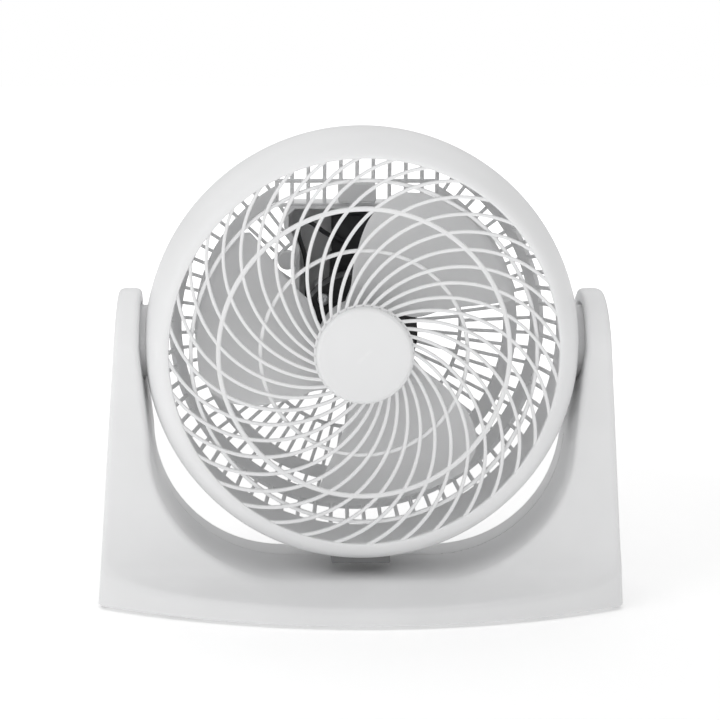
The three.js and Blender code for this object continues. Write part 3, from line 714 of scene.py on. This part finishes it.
def bezel_form():
    turns = np.radians(np.linspace(0, 90, 28))
    rise, depth = HEAD_RADIUS - BEZEL_LIP, WIDEST_Y - FRONT_Y
    outside = [(BEZEL_LIP + rise * math.cos(t), WIDEST_Y - depth * math.sin(t)) for t in turns]
    inside = [(115.4 + (rise - 1.4) * math.cos(t), WIDEST_Y - (depth - 4) * math.sin(t))
              for t in turns[::-1]]
    start = [(head_contour(y), y) for y in (SEAM_Y, SEAM_Y - 3, SEAM_Y - 7)]
    end = [(head_contour(y) - HEAD_WALL, y) for y in (SEAM_Y - 7, SEAM_Y)]
    mouth = [(OPENING_RADIUS + 0.4, FRONT_Y + 0.15), (OPENING_RADIUS, FRONT_Y + 0.7),
             (OPENING_RADIUS, FRONT_Y + 3.4)]
    return lathe(start + outside + mouth + inside + end, 240)


def wire_angle(radius):
    """Where a wire, a circular arc, crosses a radius: clockwise from the top, seen from the front."""
    cosine = (radius ** 2 + SPIRAL_OFFSET ** 2 - SPIRAL_RADIUS ** 2) / (2 * radius * SPIRAL_OFFSET)
    return math.pi / 2 - math.acos(cosine)


def wire_form(index, middle_y):
    radii = np.linspace(CAP_RADIUS - 1, OPENING_RADIUS + 1.2, 44)
    turn = WIRE_TURN + index * 2 * math.pi / WIRE_COUNT
    angles = [wire_angle(radius) + turn for radius in radii]
    path = [(radius * math.sin(angle), radius * math.cos(angle)) for radius, angle in zip(radii, angles)]
    return flat_sweep(path, middle_y, bar_section(WIRE_WIDTH, WIRE_DEPTH, 4))


def ring_form(radius, width, low, high, sides=180, edge=None):
    half = width / 2
    outline = [(radius - half, low), (radius + half, low), (radius + half, high), (radius - half, high)]
    return lathe(fillet(outline, 0.4 * min(width, high - low), 4), sides, edge)


def add_front_grille():
    middle_y = WIRE_FRONT_Y + WIRE_DEPTH / 2
    back_y = WIRE_FRONT_Y + WIRE_DEPTH
    forms = [wire_form(i, middle_y) for i in range(WIRE_COUNT)]
    forms.append(ring_form(FACE_RING, 2.9, WIRE_FRONT_Y - 0.15, back_y))
    forms += [ring_form(radius, 2.4, back_y - 0.6, back_y + 2.0) for radius in BACK_RINGS]
    seat = CAP_RADIUS + 1.2
    disc = [(0.5, back_y), (seat, back_y), (seat, WIRE_FRONT_Y), (0.5, WIRE_FRONT_Y)]
    forms.append(lathe(fillet(disc, 0.3, 2), 96))
    piece("spiral_grille", merged([bezel_form(), *forms]), "head", "housing_white", ["front_grille"])
    back = WIRE_FRONT_Y - GAP
    radii = np.linspace(0.02, CAP_RADIUS - 3.4, 8)
    crown = [(radius, back - 6.5 + 0.5 * (radius / CAP_RADIUS) ** 2) for radius in radii]
    rim = arc(CAP_RADIUS - 3.0, back - 3.2, 3.0, -90, 0, 10)
    rim = [(radius, y if y > back - 6.0 else back - 6.0) for radius, y in rim]
    under = [(CAP_RADIUS, back), (CAP_RADIUS - 2.4, back), (CAP_RADIUS - 2.4, back - 4), (0.02, back - 4.4)]
    piece("hub_cap", lathe(crown + rim + under, 120), "head", "housing_white", ["centre_cap"], sharp_angle=50)
    box = [(-18, -31), (18, -31), (18, -14), (-18, -14)]
    latch = slab(fillet(box, 1.2, 3), -132.4, -126, 0.8, 0.4, "z")
    # the latch is coloured mid grey as painted shade for the soft shadow under the bezel
    piece("latch", latch, "head", "latch_grey", ["grille_latch"])


# ---------------------------------------------------------------- rear shell
def shield_outline(grow):
    waist = SHIELD_WAIST + grow
    top = SHIELD_TOP_HALF + grow
    half = [(waist, 0), (waist, SHIELD_KNEE), (top, SHIELD_TOP - 12), (top, SHIELD_TOP - 4),
            (top - 4, SHIELD_TOP + grow)]
    return mirrored(half) + arc(0, 0, waist, 180, 360, 40)[1:-1]


def blocked(x, z):
    """True inside the panel of upright bars or the motor opening and its frame."""
    if z > PANEL_FLOOR - 1 and abs(x) < PANEL_HALF:
        return True
    if z >= SHIELD_KNEE:
        flare = min(1.0, (z - SHIELD_KNEE) / 14)
        return z < PANEL_FLOOR and abs(x) < SHIELD_WAIST + 2 + flare * (SHIELD_TOP_HALF - SHIELD_WAIST)
    return abs(x) < SHIELD_WAIST + 2 if z > 0 else math.hypot(x, z) < SHIELD_WAIST + 2


def radial_bars(inner, outer, count):
    """Bars from one radius to another, cut short where the panel or the motor opening is in the way."""
    middle_y = (REAR_INNER_Y + REAR_OUTER_Y) / 2
    section = bar_section(BAR_WIDTH, REAR_OUTER_Y - REAR_INNER_Y)
    forms = []
    for i in range(count):
        angle = (i + 0.5) * 2 * math.pi / count
        radii = np.linspace(inner, outer, 25)
        places = [(radius * math.sin(angle), radius * math.cos(angle)) for radius in radii]
        free = [place for place in places if not blocked(*place)]
        if len(free) < 3:
            continue
        forms.append(flat_sweep([free[0], free[-1]], middle_y, section))
    return forms


def panel_bars():
    middle_y = (REAR_INNER_Y + REAR_OUTER_Y) / 2
    section = bar_section(PANEL_BAR_WIDTH, REAR_OUTER_Y - REAR_INNER_Y)
    forms = []
    for x in [-PANEL_HALF, *(PANEL_PITCH * i for i in range(-4, 5)), PANEL_HALF]:
        top = math.sqrt((RIM_RADIUS + 1.0) ** 2 - x ** 2)
        forms.append(flat_sweep([(x, PANEL_FLOOR), (x, top)], middle_y, section))
    for z in (PANEL_FLOOR, PANEL_RAIL):
        forms.append(flat_sweep([(-PANEL_HALF, z), (PANEL_HALF, z)], middle_y, section))
    low, high = BOSS_Z
    boss = fillet([(-BOSS_HALF, low), (BOSS_HALF, low), (BOSS_HALF, high), (-BOSS_HALF, high)], 2, 4)
    forms.append(slab(boss, REAR_INNER_Y - 4, REAR_OUTER_Y, 1.0, 0.4))
    return forms


def panel_edge(radius):
    """Half the angle that the panel takes out of a ring."""
    return math.asin(min(1.0, PANEL_HALF / radius))


def shield_edge(radius):
    return math.asin(min(1.0, (SHIELD_WAIST + 2.5) / radius))


def shield_frame():
    """The raised rim round the motor opening."""
    outer, inner = shield_outline(SHIELD_FRAME), shield_outline(0)
    count = len(outer)
    front = [(outer, REAR_INNER_Y + 0.4), (inset(outer, 0.4), REAR_INNER_Y),
             (inset(inner, -0.4), REAR_INNER_Y), (inner, REAR_INNER_Y + 0.4)]
    back = [(inner, REAR_OUTER_Y - 0.3), (inset(inner, -0.3), REAR_OUTER_Y),
            (inset(outer, 0.3), REAR_OUTER_Y), (outer, REAR_OUTER_Y - 0.3)]
    rings = [np.array([(x, y, z) for x, z in outline]) for outline, y in front + back]
    return np.concatenate(rings), grid_faces(len(rings), count, True, True)


def drum_form():
    """The plain front band of the rear shell and its narrower back rim."""
    depths = np.linspace(SEAM_Y + GAP, 30, 14)
    band = [(head_contour(y), y) for y in depths]
    band += [(head_contour(y) - HEAD_WALL, y) for y in depths[::-1]]
    rear = [(head_contour(y), y) for y in np.linspace(50, REAR_OUTER_Y - 1.5, 7)]
    edge = head_contour(REAR_OUTER_Y)
    lip = [(edge - 1.2, REAR_OUTER_Y - 0.2), (edge - 2.4, REAR_OUTER_Y)]
    inner = [(RIM_RADIUS - 1, REAR_OUTER_Y), (RIM_RADIUS - 1, REAR_INNER_Y),
             (head_contour(REAR_INNER_Y) - 4, REAR_INNER_Y)]
    back = [(head_contour(y) - HEAD_WALL, y) for y in (54, 50)]
    return [lathe(band, 216), lathe(rear + lip + inner + back, 216)]


def shoulder_ribs():
    forms = []
    section = bar_section(BAR_WIDTH + 0.4, 2.6)
    for i in range(BAR_COUNT):
        angle = (i + 0.5) * 2 * math.pi / BAR_COUNT
        outward = np.array([math.sin(angle), 0, math.cos(angle)])
        around = np.array([math.cos(angle), 0, -math.sin(angle)])
        depths = np.linspace(*SHOULDER_Y, 8)
        path = [outward * (head_contour(y) - HEAD_WALL / 2) + np.array([0, y, 0]) for y in depths]
        leans = [np.array([0, y - WIDEST_Y, 0]) + outward * head_contour(y) for y in depths]
        ups = [lean / np.linalg.norm(lean) for lean in leans]
        forms.append(sweep(path, [around] * len(path), ups, section))
    return forms


def trunnion_forms():
    forms = []
    for side in (-1, 1):
        outline = arc(0, 0, TRUNNION_RADIUS, 0, 360, 72)[:-1]
        low, high = sorted(side * x for x in TRUNNION_X)
        forms.append(slab(outline, low, high, 0.6, 0.6, "x"))
    return forms


def add_rear_shell():
    forms = drum_form() + shoulder_ribs() + trunnion_forms() + panel_bars() + [shield_frame()]
    forms += radial_bars(SHIELD_WAIST + 1, INNER_RING, BAR_COUNT // 2)
    forms += radial_bars(INNER_RING, BAND[0] + 1, BAR_COUNT)
    forms += radial_bars(BAND[1] - 1, RIM_RADIUS, BAR_COUNT)
    forms.append(ring_form(INNER_RING, 2.4, REAR_INNER_Y, REAR_OUTER_Y, 160, shield_edge))
    forms.append(ring_form(sum(BAND) / 2, BAND[1] - BAND[0], REAR_INNER_Y, REAR_OUTER_Y, 200, panel_edge))
    for x, z in COVER_SCREWS:
        forms.append(slab(arc(x, z, 6, 0, 360, 32)[:-1], REAR_INNER_Y - 3, REAR_OUTER_Y, 0.4, 0.2))
    piece("rear_housing", merged(forms), "head", "housing_white", ["rear_shell"])


# ---------------------------------------------------------------- motor cover, knob and gland
def motor_cover_field(step):
    axes = grid_axes((-50, 59, -41), (50, 93, 86), step)
    x, y, z = axes
    gx, gy, gz = x[:, None, None], y[None, :, None], z[None, None, :]
    front = REAR_OUTER_Y + GAP
    flat = outline_distance(fillet(shield_outline(3.4), 3.0, 4), x, z)[:, None, :]
    outer = np.maximum(soft_meet(5.0, flat, gy - COVER_BACK_Y), front - gy)
    hollow = soft_meet(3.5, flat + WALL, gy - COVER_BACK_Y + WALL)
    for px, pz in COVER_SCREWS:
        reach = np.hypot(gx - px, gz - pz)
        outer = np.minimum(outer, soft_meet(0.8, reach - 6, abs(gy - front - 2) - 2))
    shell = np.maximum(outer, -hollow)
    for px, pz in COVER_SCREWS:
        shell = np.maximum(shell, 2.0 - np.hypot(gx - px, gz - pz))
    holes = [np.hypot(gx, gz - KNOB_HEIGHT) - 4.5, np.hypot(gx, gz - GLAND_HEIGHT) - 5]
    for vent in range(-VENT_REACH, VENT_REACH + 1, VENT_PITCH):
        holes.append(np.hypot(gx - vent, np.maximum(abs(gz - 4) - 18.5, 0)) - 1.5)
    for hole in holes:
        shell = np.maximum(shell, -np.maximum(hole, CUT_Y - gy))
    return axes, shell


def add_motor_cover():
    axes, shell = motor_cover_field(0.6)
    forms = [field_surface(shell, axes)]
    for place in arc(0, 0, BOLT_CIRCLE, 45, 315, 3):
        post = arc(*place, 4.4, 0, 360, 31)[:-1]
        forms.append(slab(post, 66, COVER_BACK_Y - 1, 0.3, 0))
    piece("motor_cover_moulding", merged(forms), "head", "housing_white", ["motor_cover"], sharp_angle=50)


def screw_form(radius, thickness, length, sides=40):
    """A pan-head screw along +Y from its head: domed rim, dimple in the middle, plain shank."""
    head = [(0.02, 0.45), (0.5, 0.3), (radius * 0.62, 0.12), (radius * 0.9, 0.45), (radius, thickness * 0.6)]
    body = [(radius, thickness), (1.7, thickness), (1.7, length), (0.02, length)]
    return lathe(head + body, sides)


def cross_recess(radius):
    """Two thin dark bars of painted shade that stand for the shaded recess of a cross-head screw."""
    long, thin = radius * 0.575, radius * 0.14
    corners = [(-long, -thin), (long, -thin), (long, thin), (-long, thin)]
    bar = fillet(corners, 0.1, 2)
    turned = [(z, x) for x, z in bar][::-1]
    return merged([slab(bar, 0.0, 0.35), slab(turned, 0.0, 0.35)])


def oriented(form, direction, place):
    """Turns a form whose +Y is its length to point along an axis, and moves it to a place."""
    points, faces = form
    points = np.asarray(points)
    x, y, z = points[:, 0], points[:, 1], points[:, 2]
    if direction == "-y":
        points = np.stack([-x, -y, z], axis=1)
    if direction == "z":
        points = np.stack([x, -z, y], axis=1)
    return points + np.array(place, float), faces


def add_screws():
    back = REAR_OUTER_Y + 4 + 2 * GAP + 2
    for i, (x, z) in enumerate(COVER_SCREWS, 1):
        screw = oriented(screw_form(SCREW_HEAD_RADIUS, 2.0, 12), "-y", (x, back, z))
        piece(f"cover_screw_head_{i}", screw, "head", "fastener_steel", [f"cover_screw_{i}"])
        # dark bars of painted shade for the shaded cross recess in the screw head
        cross = oriented(cross_recess(SCREW_HEAD_RADIUS), "-y", (x, back - 0.05, z))
        piece(f"cover_screw_recess_shade_{i}", cross, "head", "dark_plastic")
    for name, side in (("left", -1), ("right", 1)):
        place = (side * ARM_SCREW[0], ARM_SCREW_SEAT_Y, ARM_SCREW[1])
        screw = oriented(screw_form(3.1, 2.1, 44), "-y", place)
        piece(f"arm_screw_head_{name}", screw, "base", "fastener_steel", [f"arm_screw_{name}"],
              FLOOR_UNDER_PIVOT)
        # dark bars of painted shade for the shaded cross recess in the screw head
        cross = oriented(cross_recess(3.1), "-y", (place[0], ARM_SCREW_SEAT_Y - 0.05, place[2]))
        piece(f"arm_screw_recess_shade_{name}", cross, "base", "dark_plastic", (), FLOOR_UNDER_PIVOT)
    for i in range(1, 7):
        low, high = (np.array(corner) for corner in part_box(f"base_screw_{i}"))
        place = np.array([(low[0] + high[0]) / 2, (low[1] + high[1]) / 2, low[2]])
        screw = oriented(screw_form(SCREW_HEAD_RADIUS, 1.4, 12.8), "z", (0, 0, 0))
        piece(f"base_screw_head_{i}", screw, "base", "fastener_steel", [f"base_screw_{i}"], place)
        # dark bars of painted shade for the shaded cross recess in the screw head
        cross = oriented(cross_recess(SCREW_HEAD_RADIUS), "z", (0, 0, 0.02))
        piece(f"base_screw_recess_shade_{i}", cross, "base", "dark_plastic", (), place)
    for i, (x, z) in enumerate(arc(0, 0, BOLT_CIRCLE, 45, 315, 3), 1):
        bolt = oriented(screw_form(3.8, 2.8, 42), "y", (x, 20.8, z))
        piece(f"motor_through_bolt_{i}", bolt, "head", "fastener_steel", [f"motor_bolt_{i}"])


def add_knob():
    """The speed knob: a skirted dial with a grip bar and a pointer line."""
    front_y = COVER_BACK_Y + 0.6
    profile = [(0.02, front_y), (KNOB_RADIUS, front_y), (KNOB_RADIUS, KNOB_SKIRT_Y - 1.5),
               (KNOB_RADIUS - 1.4, KNOB_SKIRT_Y), (0.02, KNOB_SKIRT_Y)]
    skirt = fillet(profile, [0, 0.5, 1.0, 1.0, 0], 4)
    bar = fillet([(-3.4, -13.2), (3.4, -13.2), (3.0, 13.2), (-3.0, 13.2)], 2.4, 6)
    grip = slab(bar, KNOB_SKIRT_Y - 1, 105.9, 0, 1.6)
    shift = np.array([0, 0, KNOB_HEIGHT])
    points, faces = merged([lathe(skirt, 120), grip])
    piece("dial_knob", (points + shift, faces), "knob", "knob_white", ["speed_knob"], sharp_angle=45)
    line = slab(fillet([(-0.5, -12), (0.5, -12), (0.5, -4), (-0.5, -4)], 0.3, 3), 105.6, 105.95)
    piece("knob_pointer", (line[0] + shift, line[1]), "knob", "dark_plastic")


def add_dial_marks():
    """Generic speed numbers beside the knob. From behind, they run clockwise from its lowest point."""
    for number in range(4):
        angle = math.radians(45 * number)
        x, z = MARK_RADIUS * math.sin(angle), KNOB_HEIGHT - MARK_RADIUS * math.cos(angle)
        text = bpy.data.curves.new(f"speed_mark_{number}", "FONT")
        text.body = str(number)
        text.size = 4.6 * MM
        text.extrude = 0.06 * MM
        text.align_x = "CENTER"
        text.align_y = "CENTER"
        mark = bpy.data.objects.new(f"speed_mark_{number}", text)
        bpy.context.scene.collection.objects.link(mark)
        mark.location = PIVOT + np.array([x, COVER_BACK_Y + 0.05, z]) * MM
        mark.rotation_euler = (math.radians(90), 0, math.radians(180))
        text.materials.append(MATERIALS["dark_plastic"])
        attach(mark, "head")


def add_gland():
    profile = [(3.1, 84.2), (4.5, 84.2), (4.5, 92.1), (7.9, 92.4), (7.9, 94), (6.6, 94.4)]
    for groove in (95.2, 96.4):
        profile += [(6.6, groove - 0.3), (6.0, groove), (6.6, groove + 0.3)]
    profile += [(6.4, 97.6), (5.4, 98.0), (3.1, 98.0)]
    points, faces = lathe(profile, 64)
    lowered = points + np.array([0, 0, GLAND_HEIGHT])
    piece("cord_gland_rubber", (lowered, faces), "head", "rubber_dark", ["cord_gland"])


# ---------------------------------------------------------------- impeller and motor
def blade_form(turn, across=26, along=34):
    """One blade: a closed skin whose two faces meet at thin rounded edges."""
    radii = np.linspace(HUB_RADIUS - 1.5, TIP_RADIUS, along)
    trailing = np.interp(radii, *zip(*smooth_curve(TRAILING_EDGE, 80)))
    leading = np.interp(radii, *zip(*smooth_curve(LEADING_EDGE, 80)))
    shares = (1 - np.cos(np.linspace(0, math.pi, across))) / 2
    points, faces = [], []
    for side in (-1, 1):
        for radius, front, rear in zip(radii, trailing, leading):
            span = (radius - radii[0]) / (TIP_RADIUS - radii[0])
            tip_corner = 9.0 * max(0.0, span - 0.93) / 0.07
            low, high = front + 0.35 * tip_corner ** 1.6 / 3, rear - 0.4 * tip_corner ** 1.6 / 3
            tip = min(1.0, 30 * (1.0005 - span)) ** 0.5
            for share in shares:
                angle = math.radians(low + (high - low) * share) + turn
                camber = 4 * math.sin(math.pi * share)
                depth = (1 - share) * (-34 + 12 * span) - share * 2 * span + camber
                thick = (1 - abs(2 * share - 1) ** 10) ** 0.5 * tip
                points.append((radius * math.sin(angle), depth + side * thick, radius * math.cos(angle)))
    size = across * along
    sheet = grid_faces(along, across, False, False)
    faces += sheet + [tuple(size + i for i in reversed(face)) for face in sheet]
    border = list(range(across)) + [i * across + across - 1 for i in range(1, along)]
    border += [size - 2 - i for i in range(across - 1)] + [i * across for i in range(along - 2, 0, -1)]
    for i, here in enumerate(border):
        after = border[(i + 1) % len(border)]
        faces.append((here, size + here, size + after, after))
    return points, faces


def add_rotor():
    hub = fillet([(4.3, -36), (HUB_RADIUS, -36), (HUB_RADIUS, 2), (HUB_RADIUS - 2.4, 2),
                  (HUB_RADIUS - 2.4, -33), (9, -33), (9, 0), (4.3, 0)], [0, 3, 0.6, 0.6, 1, 1, 0.4, 0], 5)
    forms = [lathe(hub, 120)] + [blade_form(i * 2 * math.pi / 3) for i in range(3)]
    piece("impeller_moulding", merged(forms), "rotor", "blade_plastic", ["impeller"], sharp_angle=50)
    profile = [(4.3, -36.3), (9, -36.3), (9, -41.5), (5, -44.9), (0.02, -45), (0.02, -42.4), (4.3, -42.4)]
    nut = fillet(profile, [0, 0.4, 2, 2, 0, 0, 0], 4)
    piece("blade_nut", lathe(nut, 64), "rotor", "blade_plastic", ["impeller_nut"])
    shaft = fillet([(0.02, -42), (3.9, -42), (3.9, 66), (0.02, 66)], [0, 0.6, 0.6, 0], 3)
    piece("steel_shaft", lathe(shaft, 48), "rotor", "fastener_steel", ["motor_shaft"])


def bracket_form(sign):
    """A dished motor end shield about the middle of the motor; sign -1 is the front one."""
    dish = [(7.4, 26.5), (20, 26.5), (24, 21.5), (24, 13.5), (STATOR_RADIUS, 13.5), (STATOR_RADIUS, 10.6),
            (22, 10.6), (22, 20.5), (19, 24), (7.4, 24)]
    rounded = fillet(dish, [0.3, 3, 3, 1.4, 0.8, 0.4, 1, 3, 2, 0.3], 5)
    return lathe([(radius, MOTOR_MIDDLE_Y + sign * y) for radius, y in rounded], 120)


def winding_form():
    """Four coil bundles that bulge out of both ends of the stator."""
    rings = []
    angles = np.linspace(0, 2 * math.pi, 144, endpoint=False)
    for angle in angles:
        swell = abs(math.sin(2 * angle)) ** 0.6
        half = 11.0 + 7.8 * swell
        outline = fillet([(17.6, -half), (21.6, -half), (21.6, half), (17.6, half)], 1.8, 4)
        ring = [(r * math.sin(angle), MOTOR_MIDDLE_Y + y, r * math.cos(angle)) for r, y in outline]
        rings.append(np.array(ring))
    return np.concatenate(rings), grid_faces(len(rings), len(rings[0]), True, True)


def lead_form(knots, radius):
    path = np.array(smooth_curve(knots, 48))
    along = np.gradient(path, axis=0)
    along /= np.linalg.norm(along, axis=1)[:, None]
    side = np.cross(along, np.array([0.0, 1.0, 0.13]))
    side /= np.linalg.norm(side, axis=1)[:, None]
    section = arc(0, 0, radius, 0, 360, 14)[:-1]
    return sweep(path, side, np.cross(side, along), section)


def add_motor():
    piece("front_end_shield", bracket_form(-1), "head", "motor_black", ["motor_front_bracket"])
    piece("rear_end_shield", bracket_form(1), "head", "motor_black", ["motor_rear_bracket"])
    core = fillet([(22, -10.3), (STATOR_RADIUS, -10.3), (STATOR_RADIUS, 10.3), (22, 10.3)], 0.5, 3)
    piece("stator_stack", lathe([(radius, MOTOR_MIDDLE_Y + y) for radius, y in core], 120), "head",
          "lamination_steel", ["stator_core"])
    piece("stator_coils", winding_form(), "head", "winding_copper", ["stator_winding"])
    motor = [(-6, 71, 51), (-19, 66, 58), (-31, 62, 66), (-37, 62, 60), (-32, 63, 40), (-31, 66, 10)]
    supply = [(8, 71, 51), (22, 68, 56), (27.5, 68, 40), (27, 74, 10), (20, 80, -12), (9, 82, -22)]
    piece("motor_lead_wire", lead_form(motor, LEAD_RADIUS), "head", "dark_plastic", ["motor_lead"])
    piece("supply_lead_wire", lead_form(supply, LEAD_RADIUS), "head", "dark_plastic", ["supply_lead"])


def add_controls():
    """The rotary switch case with its stem, and the capacitor of the motor."""
    back = COVER_BACK_Y - WALL - GAP
    low, high = KNOB_HEIGHT - 12, KNOB_HEIGHT + 12
    case = fillet([(-15, low), (15, low), (15, high), (-15, high)], 1.5, 4)
    stem = slab([(x, z + KNOB_HEIGHT) for x, z in arc(0, 0, 3, 0, 360, 24)[:-1]], back - 1, 100, 0, 0.4)
    forms = [slab(case, back - 16, back, 1.0, 0.4), stem]
    piece("rotary_switch_case", merged(forms), "head", "dark_plastic", ["rotary_switch"])
    low, high = 18, KNOB_HEIGHT - 13
    can = fillet([(-16, low), (16, low), (16, high), (-16, high)], 2.0, 4)
    piece("capacitor_case", slab(can, back - 16, back, 1.2, 0.6), "head", "dark_plastic", ["run_capacitor"])


def finish_plain_nodes():
    """The CAD nodes that stay visible or lie inside get their slot's procedural material."""
    slots = {part["node"]: part["material_slot"] for part in frame["record"]["subparts"]}
    for name, node in frame["nodes"].items():
        node.data.materials.clear()
        node.data.materials.append(MATERIALS[slots[name]])


# ---------------------------------------------------------------- build
add_camera()
add_stage()
add_yoke()
add_feet()
add_front_grille()
add_rear_shell()
add_motor_cover()
add_screws()
add_knob()
add_dial_marks()
add_gland()
add_rotor()
add_motor()
add_controls()
finish_plain_nodes()

bpy.context.view_layer.update()
